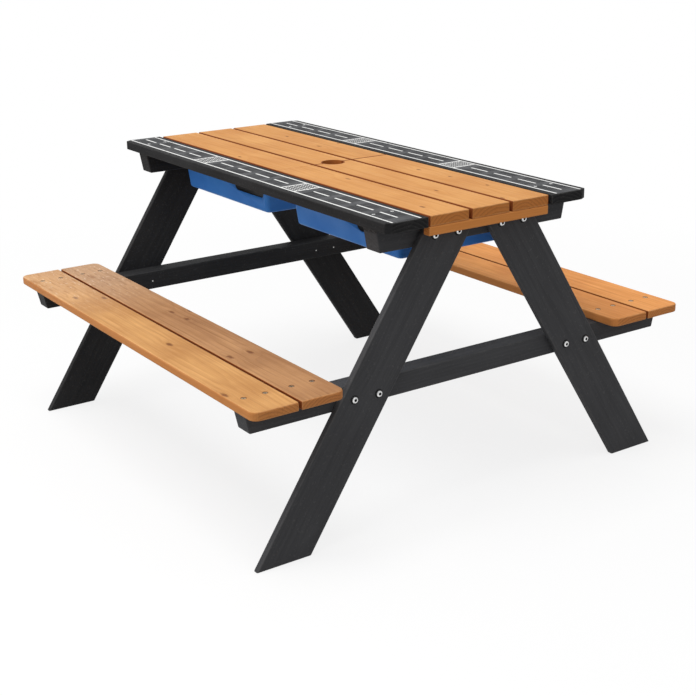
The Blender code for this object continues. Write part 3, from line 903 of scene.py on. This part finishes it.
@dataclass(frozen=True)
class MouldedPlastic:
    """Blue moulded plastic with a fine texture, light scuffs, painted highlights along the rim and
    the bottom edge, and painted shade in the grip.
    """

    slot: str = "blue_plastic"
    body: Colour = srgb(64, 138, 226)
    deep: Colour = srgb(52, 116, 206)
    pale: Colour = srgb(130, 172, 226)
    recess: Colour = srgb(9, 10, 13)
    deep_share: float = 0.5
    scuff_share: float = 0.18
    rim_share: float = 0.3
    floor_share: float = 0.22
    relief: float = 0.00008
    roughness: float = 0.45
    shine: float = 0.2

    def make(self, tub: "Tub") -> bpy.types.Material:
        """The material of one tub.

        Args:
            tub: The tub, which gives the places of its rim and its recess.

        Returns:
            The finished material.
        """
        surface = Surface(f"{tub.node}_{self.slot}", self.body)
        graph, place = surface.graph, surface.axes(tub.top_centre)
        x, y, z = graph.split(place)
        grime = {"vector": place, "seed": tub.seed, "patch_scale": 14.0, "speck_share": 0.25}
        patches = graph.group(GROUPS.grime, **grime).patches
        scuff = graph.noise(place, tub.seed, (260.0, 260.0, 14.0)).fade(0.66, 0.78)
        # Painted highlights: a paler band at the top of the rim and along the bottom edge. The same
        # pale colour also marks the real scuffs.
        rim_highlight = z.fade(-tub.rim_height, -0.4 * tub.rim_height)
        floor = z.fade(tub.roll - tub.depth, -tub.depth)
        surface.paint(patches * self.deep_share, self.deep)
        surface.paint(scuff * self.scuff_share, self.pale)
        surface.paint((rim_highlight * self.rim_share).most(floor * self.floor_share), self.pale)
        # Painted shade: the grip recess on the front wall is painted near black.
        surface.paint(self.recess_mask(tub, x, y, z), self.recess)
        stipple = graph.noise(place, tub.seed, (900.0, 900.0, 900.0), detail=1.0)
        rough = patches * 0.14 + self.roughness
        return surface.finish(rough, self.shine, scuff * 0.6 + stipple, self.relief)

    @staticmethod
    def recess_mask(tub: "Tub", x: Wire, y: Wire, z: Wire) -> Wire:
        """The rounded outline of the grip on the outer face of the tub's front wall, where painted
        shade goes.

        Args:
            tub: The tub, which gives the place of the grip.
            x: The place along the table from the middle of the tub.
            y: The place across it.
            z: The height from the top of the rim.

        Returns:
            1 in the grip and 0 elsewhere.
        """
        off_x = abs(x - tub.recess_x) - (tub.recess_half_length - tub.recess_round)
        off_z = abs(z - tub.recess_z) - (tub.recess_half_height - tub.recess_round)
        corner = x.graph.length(off_x.most(0.0), off_z.most(0.0))
        outline = corner.fade(tub.recess_round + 0.0003, tub.recess_round - 0.0003)
        return outline * x.graph.facing()[1].fade(-0.4, -0.8) * y.fade(0.0, -0.01)


@dataclass(frozen=True)
class PlatedSteel:
    """Plated steel with fine turned marks, small dull patches and painted shade in the sockets."""

    slot: str
    bright: Colour
    dull: Colour
    hollow: Colour
    roughness: float = 0.28
    shine: float = 0.5
    relief: float = 0.000018
    turned_marks: float = 3200.0
    bare_tail_radius: float = 0.0008

    def make(
        self,
        name: str,
        distance: Callable[[Graph], Wire] | None = None,
        socket_radius: float = 0.0,
    ) -> bpy.types.Material:
        """The material.

        Args:
            name: The name of the material.
            distance: Makes the distance to the nearest fastener's axis, if shade is painted in the
                sockets.
                It is over 1 m away from the heads, where the steel lies under black stain, apart
                from a small bare spot at the axis.
            socket_radius: The radius of the painted shade in the socket.

        Returns:
            The finished material.
        """
        surface = Surface(name, self.bright)
        graph, place = surface.graph, surface.axes(Vector())
        patches = graph.group(GROUPS.grime, vector=place, patch_scale=160.0).patches
        surface.paint(patches, self.dull)
        stained = 0.0
        if distance:
            near = distance(graph)
            stained = near.fade(1.0 + self.bare_tail_radius, 1.0 + 2 * self.bare_tail_radius)
            turned = (near * self.turned_marks).fraction()
            # Painted shade in the bolt sockets and the screws' cross recesses. The same dark colour
            # on the next line is the black stain over the bolt tails.
            surface.paint(near.fade(socket_radius * 1.15, socket_radius * 0.95), self.hollow)
            surface.paint(stained, self.hollow)
        else:
            turned = graph.noise(place, 2.0, (1400.0, 1400.0, 1400.0), detail=1.0)
        rough = patches * 0.2 + self.roughness
        graph.feed(surface.shader, {"Metallic": 1.0 - stained})
        return surface.finish(rough, self.shine, turned, self.relief)


@dataclass(frozen=True)
class CountersunkScrew:
    """A countersunk screw head with a cross recess, repeated by Geometry Nodes."""

    head_radius: float = 0.0036
    rim_radius: float = 0.0029
    head_height: float = 0.0013
    recess_length: float = 0.0042
    recess_width: float = 0.0009
    recess_depth: float = 0.0008
    sides: int = 18
    turn_seed: int = 11
    stands_proud: float = 0.0004

    @property
    def sunk(self) -> float:
        """How far the underside of the head lies in the board."""
        return self.head_height - self.stands_proud

    def sizes(self) -> dict[str, float]:
        """The measures that the tree takes, by the names of its inputs."""
        names = "head_radius rim_radius head_height recess_length recess_width recess_depth".split()
        return {title(name): getattr(self, name) for name in names}

    def tree(self) -> bpy.types.NodeTree:
        """Build the tree that puts a screw head on every point of a mesh.

        Returns:
            The tree, with one input for each size and for the finish.
        """
        tree = bpy.data.node_groups.new("countersunk_screws", "GeometryNodeTree")
        kinds = dict.fromkeys((*self.sizes(), "Tip Over"), "Float")
        for name, kind in {"Points": "Geometry", **kinds, "Finish": "Material"}.items():
            tree.interface.new_socket(name, in_out="INPUT", socket_type=f"NodeSocket{kind}")
        tree.interface.new_socket("Screws", in_out="OUTPUT", socket_type="NodeSocketGeometry")
        graph = Graph(tree)
        given = graph.wires(graph.node("NodeGroupInput", {}))
        cone = {
            "Vertices": self.sides,
            "Radius Top": given.rim_radius,
            "Radius Bottom": given.head_radius,
            "Depth": given.head_height,
        }
        head = graph.value("GeometryNodeMeshCone", cone)
        recess = graph.node("GeometryNodeMeshBoolean", {}, operation="UNION")
        length, width, depth = given.recess_length, given.recess_width, given.recess_depth * 2.0
        for size in ((length, width), (width, length)):
            bar = graph.value("GeometryNodeMeshCube", {"Size": graph.join(*size, depth)})
            graph.feed(recess, {1: bar})
        lift = {0: Wire(graph, recess.outputs[0])}
        lift["Translation"] = graph.join(0.0, 0.0, given.head_height)
        raised = graph.value("GeometryNodeTransform", lift)
        cut = graph.value("GeometryNodeMeshBoolean", {0: head, 1: raised}, operation="DIFFERENCE")
        tip = {"Geometry": cut, "Rotation": graph.join(given.tip_over, 0.0)}
        tipped = graph.value("GeometryNodeTransform", tip)
        turns = {"Min": (0.0, 0.0, 0.0), "Max": (0.0, 0.0, math.tau), "Seed": self.turn_seed}
        turn = graph.value("FunctionNodeRandomValue", turns, data_type="FLOAT_VECTOR")
        spread = {"Points": given.points, "Instance": tipped, "Rotation": turn}
        instances = graph.value("GeometryNodeInstanceOnPoints", spread)
        real = graph.value("GeometryNodeRealizeInstances", {0: instances})
        coated = {"Geometry": real, "Material": given.finish}
        graph.node("NodeGroupOutput", {0: graph.value("GeometryNodeSetMaterial", coated)})
        return tree

    def fit(
        self, name: str, body: str, places: list[Vector], finish: PlatedSteel, tip_over: float = 0.0
    ) -> None:
        """Fit a screw at every place, as one piece.

        Args:
            name: The name of the piece.
            body: The body that it rides on.
            places: The undersides of the heads, on the boards that they hold.
            finish: The steel of the screws.
            tip_over: The turn about X, which is half a turn for screws driven in from below.
        """
        tree = bpy.data.node_groups.get("countersunk_screws") or self.tree()
        points = bpy.data.meshes.new(f"{name}_points")
        points.from_pydata([tuple(place) for place in places], [], [])
        piece = add_object(name, points)
        modifier = piece.modifiers.new("screws", "NODES")
        modifier.node_group = tree
        values = {**self.sizes(), "Tip Over": tip_over, "Finish": finish.make(finish.slot)}
        for item in tree.interface.items_tree:
            if item.item_type == "SOCKET" and item.in_out == "INPUT" and item.name in values:
                modifier[item.identifier] = values[item.name]
        bpy.context.view_layer.update()
        made = piece.evaluated_get(bpy.context.evaluated_depsgraph_get())
        mesh = bpy.data.meshes.new_from_object(made)
        piece.modifiers.clear()
        piece.data = mesh
        bpy.data.meshes.remove(points)
        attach(piece, body)
        LOG.info("%s: %d screws on %s", name, len(places), body)


HONEY = BareWood(
    slot="honey_wood",
    light=srgb(225, 166, 100),
    dark=srgb(188, 120, 60),
    end=srgb(198, 120, 56),
    pale_edge=srgb(238, 184, 124),
    ring_share=0.32,
    patch_share=0.42,
    knot_share=0.04,
)
BATTEN = BareWood(
    slot="honey_wood",
    light=srgb(244, 166, 90),
    dark=srgb(206, 128, 64),
    end=srgb(206, 126, 62),
    pale_edge=srgb(232, 168, 104),
    ring_width=0.004,
    knot_share=0.05,
)
DEEP_BLACK = BlackWood(stain=srgb(33, 33, 34), grain=srgb(48, 48, 49), worn=srgb(84, 83, 82))
STEEL = PlatedSteel("zinc_steel", srgb(228, 228, 226), srgb(190, 191, 192), srgb(24, 24, 25))
SCREW_STEEL = PlatedSteel(
    "screw_steel", srgb(222, 206, 178), srgb(180, 160, 130), srgb(26, 20, 14), 0.36
)
SCREW = CountersunkScrew()


@dataclass
class TableTop:
    """The two black side planks, the strips below them and the screws through them."""

    body: str = "frame"
    screw_from_end: float = 0.069
    screw_from_middle: float = 0.019
    strip_screws: tuple[float, ...] = (0.11, 0.29)
    print_shifts: tuple[float, float] = (-0.006, 0.001)
    plank_seeds: tuple[float, float] = (3.0, 7.3)
    strip_seeds: tuple[float, float] = (17.0, 19.9)

    def dress(self) -> None:
        """Finish the planks and strips and fit their screws."""
        plank_screws, strip_screws = [], []
        rows = zip(Facing, self.print_shifts, self.plank_seeds, self.strip_seeds)
        for facing, shift, plank_seed, strip_seed in rows:
            plank, strip = f"{facing.word}_side_plank", f"{facing.word}_tub_strip"
            DEEP_BLACK.dress(Board(plank, Lie.ALONG_TABLE, plank_seed), RoadPrint(shift))
            DEEP_BLACK.dress(Board(strip, Lie.ALONG_TABLE, strip_seed))
            high, low = middle(plank), middle(strip)
            high.z += span(plank).z / 2 - SCREW.sunk
            low.z += SCREW.sunk - span(strip).z / 2
            low.y += facing.value * span(strip).y / 6
            far = span(plank).x / 2 - self.screw_from_end
            for side in Side:
                for offset in (-self.screw_from_middle, self.screw_from_middle):
                    plank_screws.append(Vector((side.value * far, high.y + offset, high.z)))
                for reach in self.strip_screws:
                    strip_screws.append(Vector((side.value * reach, low.y, low.z)))
            LOG.info("%s side plank and strip finished", facing.word)
        SCREW.fit("side_plank_screws", self.body, plank_screws, STEEL)
        SCREW.fit("tub_strip_screws", self.body, strip_screws, STEEL, math.pi)


@dataclass
class Lid:
    """One lift-off lid: three honey-coloured planks on two battens, screwed from below."""

    side: Side
    knots: dict[str, Spots]
    hole_radius: float = 0.022
    seed: float = 21.0
    side_step: float = 6.1
    plank_step: float = 1.9
    batten_step: float = 11.0

    def dress(self) -> None:
        """Finish the planks and battens and fit the screws."""
        lid = f"{self.side.word}_lid"
        start = self.seed + self.side_step * self.side.value
        rows, screws = [], []
        for index, which in enumerate(("front", "middle", "back")):
            plank = Board(
                f"{lid}_{which}_plank",
                Lie.ALONG_TABLE,
                start + self.plank_step * index,
                joints=(-1, 1),
                butt=-self.side.value if index else 0,
                knots=self.knots.get(which, ()),
                hole_radius=self.hole_radius if which == "middle" else 0.0,
            )
            HONEY.dress(plank)
            rows.append(middle(plank.node).y)
        for index, which in enumerate(("outer", "inner")):
            batten = f"{lid}_{which}_batten"
            BATTEN.dress(Board(batten, Lie.ACROSS_TABLE, start + self.batten_step + index))
            centre = middle(batten)
            low = centre.z - span(batten).z / 2 + SCREW.sunk
            screws += [Vector((centre.x, y, low)) for y in rows]
        SCREW.fit(f"{lid}_batten_screws", lid, screws, SCREW_STEEL, math.pi)
        LOG.info("%s finished", lid)


@dataclass
class Bench:
    """One bench: two planks with rounded corners."""

    facing: Facing
    outer: BareWood
    inner: BareWood
    outer_knots: Spots = ()
    inner_knots: Spots = ()
    seed: float = 41.0
    side_step: float = 5.3
    plank_step: float = 2.1

    def dress(self) -> None:
        """Finish both planks."""
        word, sign = self.facing.word, self.facing.value
        start = self.seed + self.side_step * sign
        outer = Board(f"{word}_bench_outer_plank", Lie.ALONG_TABLE, start, (-sign,))
        start += self.plank_step
        inner = Board(f"{word}_bench_inner_plank", Lie.ALONG_TABLE, start, (sign,))
        self.outer.dress(replace(outer, knots=self.outer_knots))
        self.inner.dress(replace(inner, knots=self.inner_knots))
        LOG.info("%s bench finished", word)


@dataclass
class LegStand:
    """One end of the frame: a rail below the table top, a beam below the benches and two legs."""

    side: Side
    finish: BlackWood
    seed: float = 60.0
    side_step: float = 7.7
    board_step: float = 1.3

    def dress(self) -> None:
        """Finish the rail, the beam and the legs."""
        boards = {
            "top_rail": Lie.ACROSS_TABLE,
            "seat_beam": Lie.ACROSS_TABLE,
            "front_leg": Lie.FRONT_LEG,
            "back_leg": Lie.BACK_LEG,
        }
        seed = self.seed + self.side_step * self.side.value
        for which, lie in boards.items():
            self.finish.dress(Board(f"{self.side.word}_{which}", lie, seed))
            seed += self.board_step
        LOG.info("%s rail, beam and legs finished", self.side.word)


@dataclass
class Fasteners:
    """The bolts through the legs and the screws through the benches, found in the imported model."""

    bolt_socket_radius: float = 0.0026
    screw_recess_radius: float = 0.0011

    @staticmethod
    def centres(prefix: str, axes: str) -> Spots:
        """The different places of the fasteners, folded to one quarter of the table.

        Args:
            prefix: What the names of the nodes start with.
            axes: The two axes that the places are given on, such as "xy".

        Returns:
            Each place once.
        """
        found: dict[tuple[float, ...], None] = {}
        for node in sorted(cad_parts):
            if node.startswith(prefix):
                found[tuple(round(abs(getattr(middle(node), axis)), 4) for axis in axes)] = None
        return tuple(found)

    def bolt_places(self) -> Spots:
        """How far each bolt is from the middle of the table, and how high."""
        return self.centres("top_rail_bolt", "yz") + self.centres("seat_beam_bolt", "yz")

    def screw_places(self) -> Spots:
        """How far each bench screw is from the middle, along and across the table."""
        return self.centres("bench_screw", "xy")

    def dress(self) -> None:
        """Finish the bolts and the bench screws."""
        bolts, screws = self.bolt_places(), self.screw_places()
        bolt_steel = STEEL.make(
            "zinc_steel_bolts", lambda graph: bolt_distance(graph, bolts), self.bolt_socket_radius
        )
        screw_steel = SCREW_STEEL.make(
            "screw_steel_bench_screws",
            lambda graph: screw_distance(graph, screws),
            self.screw_recess_radius,
        )
        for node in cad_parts:
            if "_bolt_" in node:
                cover(node, bolt_steel)
            elif node.startswith("bench_screw"):
                cover(node, screw_steel)
        LOG.info("bolts and bench screws finished")


@dataclass
class Tub:
    """One blue tub with a rolled rim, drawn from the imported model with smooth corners."""

    side: Side
    seed: float
    depth: float = 0.078
    rim_height: float = 0.0026
    roll: float = 0.006
    recess_half_length: float = 0.057
    recess_half_height: float = 0.016
    recess_round: float = 0.012
    recess_above_floor: float = 0.0445
    recess_from_end: float = 0.077
    smooth_angle: float = math.radians(32)
    finish: MouldedPlastic = MouldedPlastic()

    @property
    def node(self) -> str:
        """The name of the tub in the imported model."""
        return f"{self.side.word}_tub"

    @property
    def top_centre(self) -> Vector:
        """The middle of the rim, on its top."""
        return middle(self.node) + Vector((0.0, 0.0, span(self.node).z / 2))

    @property
    def recess_x(self) -> float:
        """Where the middle of the recess is, along the table from the middle of the tub."""
        return span(self.node).x / 2 - self.recess_from_end

    @property
    def recess_z(self) -> float:
        """How high the middle of the recess is, from the top of the rim."""
        return self.recess_above_floor - span(self.node).z

    def build(self) -> None:
        """Replace the faceted tub with a smooth-shaded copy in blue plastic."""
        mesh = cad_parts[self.node].data.copy()
        mesh.name = f"{self.side.word}_blue_tub"
        work = bmesh.new()
        work.from_mesh(mesh)
        bmesh.ops.remove_doubles(work, verts=work.verts, dist=MERGE_DISTANCE)
        work.to_mesh(mesh)
        work.free()
        mesh.materials.clear()
        mesh.materials.append(self.finish.make(self))
        mesh.shade_smooth()
        mesh.set_sharp_from_angle(angle=self.smooth_angle)
        piece = add_object(mesh.name, mesh)
        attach(piece, self.node)
        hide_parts(self.node)
        LOG.info("%s finished", piece.name)


@dataclass(frozen=True)
class Lamp:
    """A soft square lamp: its power in watts, its place and the length of its sides."""

    name: str
    power: float
    place: Triple
    size: float

    def hang(self, aim: Triple) -> None:
        """Make the lamp.

        Args:
            aim: The point that it faces.
        """
        light = bpy.data.lights.new(self.name, "AREA")
        light.energy = self.power
        light.size = self.size
        lamp = add_object(self.name, light)
        lamp.location = self.place
        lamp.rotation_euler = (Vector(aim) - Vector(self.place)).to_track_quat("-Z", "Y").to_euler()


@dataclass
class Studio:
    """A pale floor that runs into a white background, soft sky light and two soft lamps."""

    floor_half: float = 40.0
    floor_cells: int = 8
    floor_level: float = -0.0002
    floor_bounce: float = 0.4
    near_glow: float = 0.8
    near_radius: float = 0.9
    far_radius: float = 2.2
    sky_strength: float = 0.56
    aim: Triple = (0.0, 0.0, 0.35)
    lamps: tuple[Lamp, ...] = (
        Lamp("key_lamp", 100.0, (0.3, -1.5, 4.2), 2.4),
        Lamp("front_lamp", 20.0, (-1.2, -3.6, 1.3), 2.0),
    )

    def build(self) -> None:
        """Make the floor, the sky and the lamps."""
        bpy.context.scene.view_settings.view_transform = "Standard"
        self.floor()
        self.sky()
        for lamp in self.lamps:
            lamp.hang(self.aim)

    @staticmethod
    def clear_rays(graph: Graph) -> Wire:
        """1 for what the camera, a reflection or a refraction sees, and 0 for other light."""
        path = graph.wires(graph.node("ShaderNodeLightPath", {}))
        return path.is_camera_ray.most(path.is_glossy_ray).most(path.is_transmission_ray)

    def floor(self) -> None:
        """A plain pale floor that keeps the table's shadow."""
        work = bmesh.new()
        cells = {"x_segments": self.floor_cells, "y_segments": self.floor_cells}
        bmesh.ops.create_grid(work, size=self.floor_half, **cells)
        mesh = bpy.data.meshes.new("floor")
        work.to_mesh(mesh)
        work.free()
        floor = add_object("floor", mesh)
        floor.location.z = self.floor_level
        surface = Surface("pale_floor", (*[self.floor_bounce] * 3, 1.0))
        graph, shader = surface.graph, surface.shader
        seen = self.clear_rays(graph)
        surface.paint(seen, PLAIN_WHITE)
        looks = {"Base Color": surface.colour, "Roughness": 0.9, "Specular IOR Level": 0.0}
        graph.feed(shader, looks)
        glow = graph.value("ShaderNodeEmission", {"Color": PLAIN_WHITE, "Strength": 1.0})
        away = graph.length(*graph.split(graph.here()))
        far = away.fade(self.near_radius, self.far_radius, self.near_glow, 1.0)
        both = graph.value("ShaderNodeMixShader", {0: seen * far, 1: shader.outputs[0], 2: glow})
        graph.feed(surface.material.node_tree.nodes["Material Output"], {"Surface": both})
        mesh.materials.append(surface.material)

    def sky(self) -> None:
        """Even light from all round, and plain white where the camera looks at it."""
        world = bpy.data.worlds.new("plain_sky")
        world.use_nodes = True
        bpy.context.scene.world = world
        graph = Graph(world.node_tree)
        strength = self.clear_rays(graph) * (1.0 - self.sky_strength) + self.sky_strength
        looks = {"Color": PLAIN_WHITE, "Strength": strength}
        graph.feed(world.node_tree.nodes["Background"], looks)


@dataclass(frozen=True)
class PhotoCamera:
    """The camera at the photograph's place and angle."""

    place: Triple = (2.0774, -1.3953, 1.0457)
    azimuth: float = math.radians(55.536)
    elevation: float = math.radians(19.246)
    roll: float = math.radians(-0.707)
    lens: float = 66.28
    sensor: float = 36.0

    def build(self) -> None:
        """Make the camera and give it to the scene."""
        data = bpy.data.cameras.new("photo_camera")
        data.lens = self.lens
        data.sensor_width = self.sensor
        camera = add_object("photo_camera", data)
        roll = Matrix.Rotation(self.roll, 4, "Z")
        tilt = Matrix.Rotation(math.pi / 2 - self.elevation, 4, "X")
        swing = Matrix.Rotation(self.azimuth, 4, "Z")
        camera.matrix_world = Matrix.Translation(self.place) @ swing @ tilt @ roll
        bpy.context.scene.camera = camera


LID_KNOTS: dict[Side, dict[str, Spots]] = {
    Side.LEFT: {
        "front": ((0.076, -0.028),),
        "back": ((-0.066, -0.005), (0.077, -0.015), (0.072, 0.036)),
    },
    Side.RIGHT: {
        "front": ((-0.088, 0.021), (0.177, -0.011)),
        "middle": ((0.091, -0.002),),
        "back": ((-0.074, -0.002), (0.014, 0.004), (0.111, 0.010), (0.208, -0.038)),
    },
}


def benches(places: Spots) -> tuple[Bench, Bench]:
    """The front bench, with one golden and one greyer plank, and the plainer back bench.

    Args:
        places: Where the bench screws are, along and across the table.

    Returns:
        The two benches.
    """
    golden = BareWood(
        slot="bench_wood",
        light=srgb(230, 174, 110),
        dark=srgb(178, 120, 68),
        end=srgb(204, 130, 70),
        knot=srgb(112, 62, 34),
        pale_edge=srgb(236, 184, 130),
        ring_width=0.0054,
        fibre_share=0.4,
        streak_share=0.12,
        patch_share=0.55,
        knot_share=0.06,
        knot_size=0.006,
        side_share=0.8,
        joint_reach=0.0012,
        relief=0.0005,
        worn_end=-1,
        screw_places=places,
    )
    grey = replace(golden, light=srgb(208, 156, 108), dark=srgb(152, 104, 68), streak_share=0.28)
    orange = replace(golden, light=srgb(250, 174, 100), dark=srgb(208, 130, 68), streak_share=0.15)
    plain = replace(orange, worn_end=0)
    outer_knots = ((-0.259, -0.014), (-0.225, 0.032), (0.11, 0.006), (0.386, -0.038))
    inner_knots = ((-0.06, 0.008), (-0.003, 0.011), (0.231, 0.011), (0.233, -0.03))
    front = Bench(Facing.FRONT, golden, grey, outer_knots, inner_knots)
    return front, Bench(Facing.BACK, plain, plain)


def main() -> None:
    """Build the scene piece by piece."""
    logging.basicConfig(level=logging.INFO, format="%(name)s: %(message)s")
    PhotoCamera().build()
    fasteners = Fasteners()
    TableTop().dress()
    for side in Side:
        Lid(side, LID_KNOTS[side]).dress()
    for bench in benches(fasteners.screw_places()):
        bench.dress()
    deep = BlackWood(bolt_places=fasteners.bolt_places())
    # Painted light: the right stand gets a lighter copy of the same black stain, for the light that
    # falls on the right legs while the left legs stand in shade under the table.
    lit_stand_black = replace(deep, stain=srgb(68, 68, 70), grain=srgb(82, 82, 84), worn=srgb(108, 107, 106))
    for side, stain in zip(Side, (deep, lit_stand_black)):
        LegStand(side, stain).dress()
    fasteners.dress()
    for side, seed in zip(Side, (5.0, 6.0)):
        Tub(side, seed).build()
    Studio().build()


if __name__ == "__main__":
    main()
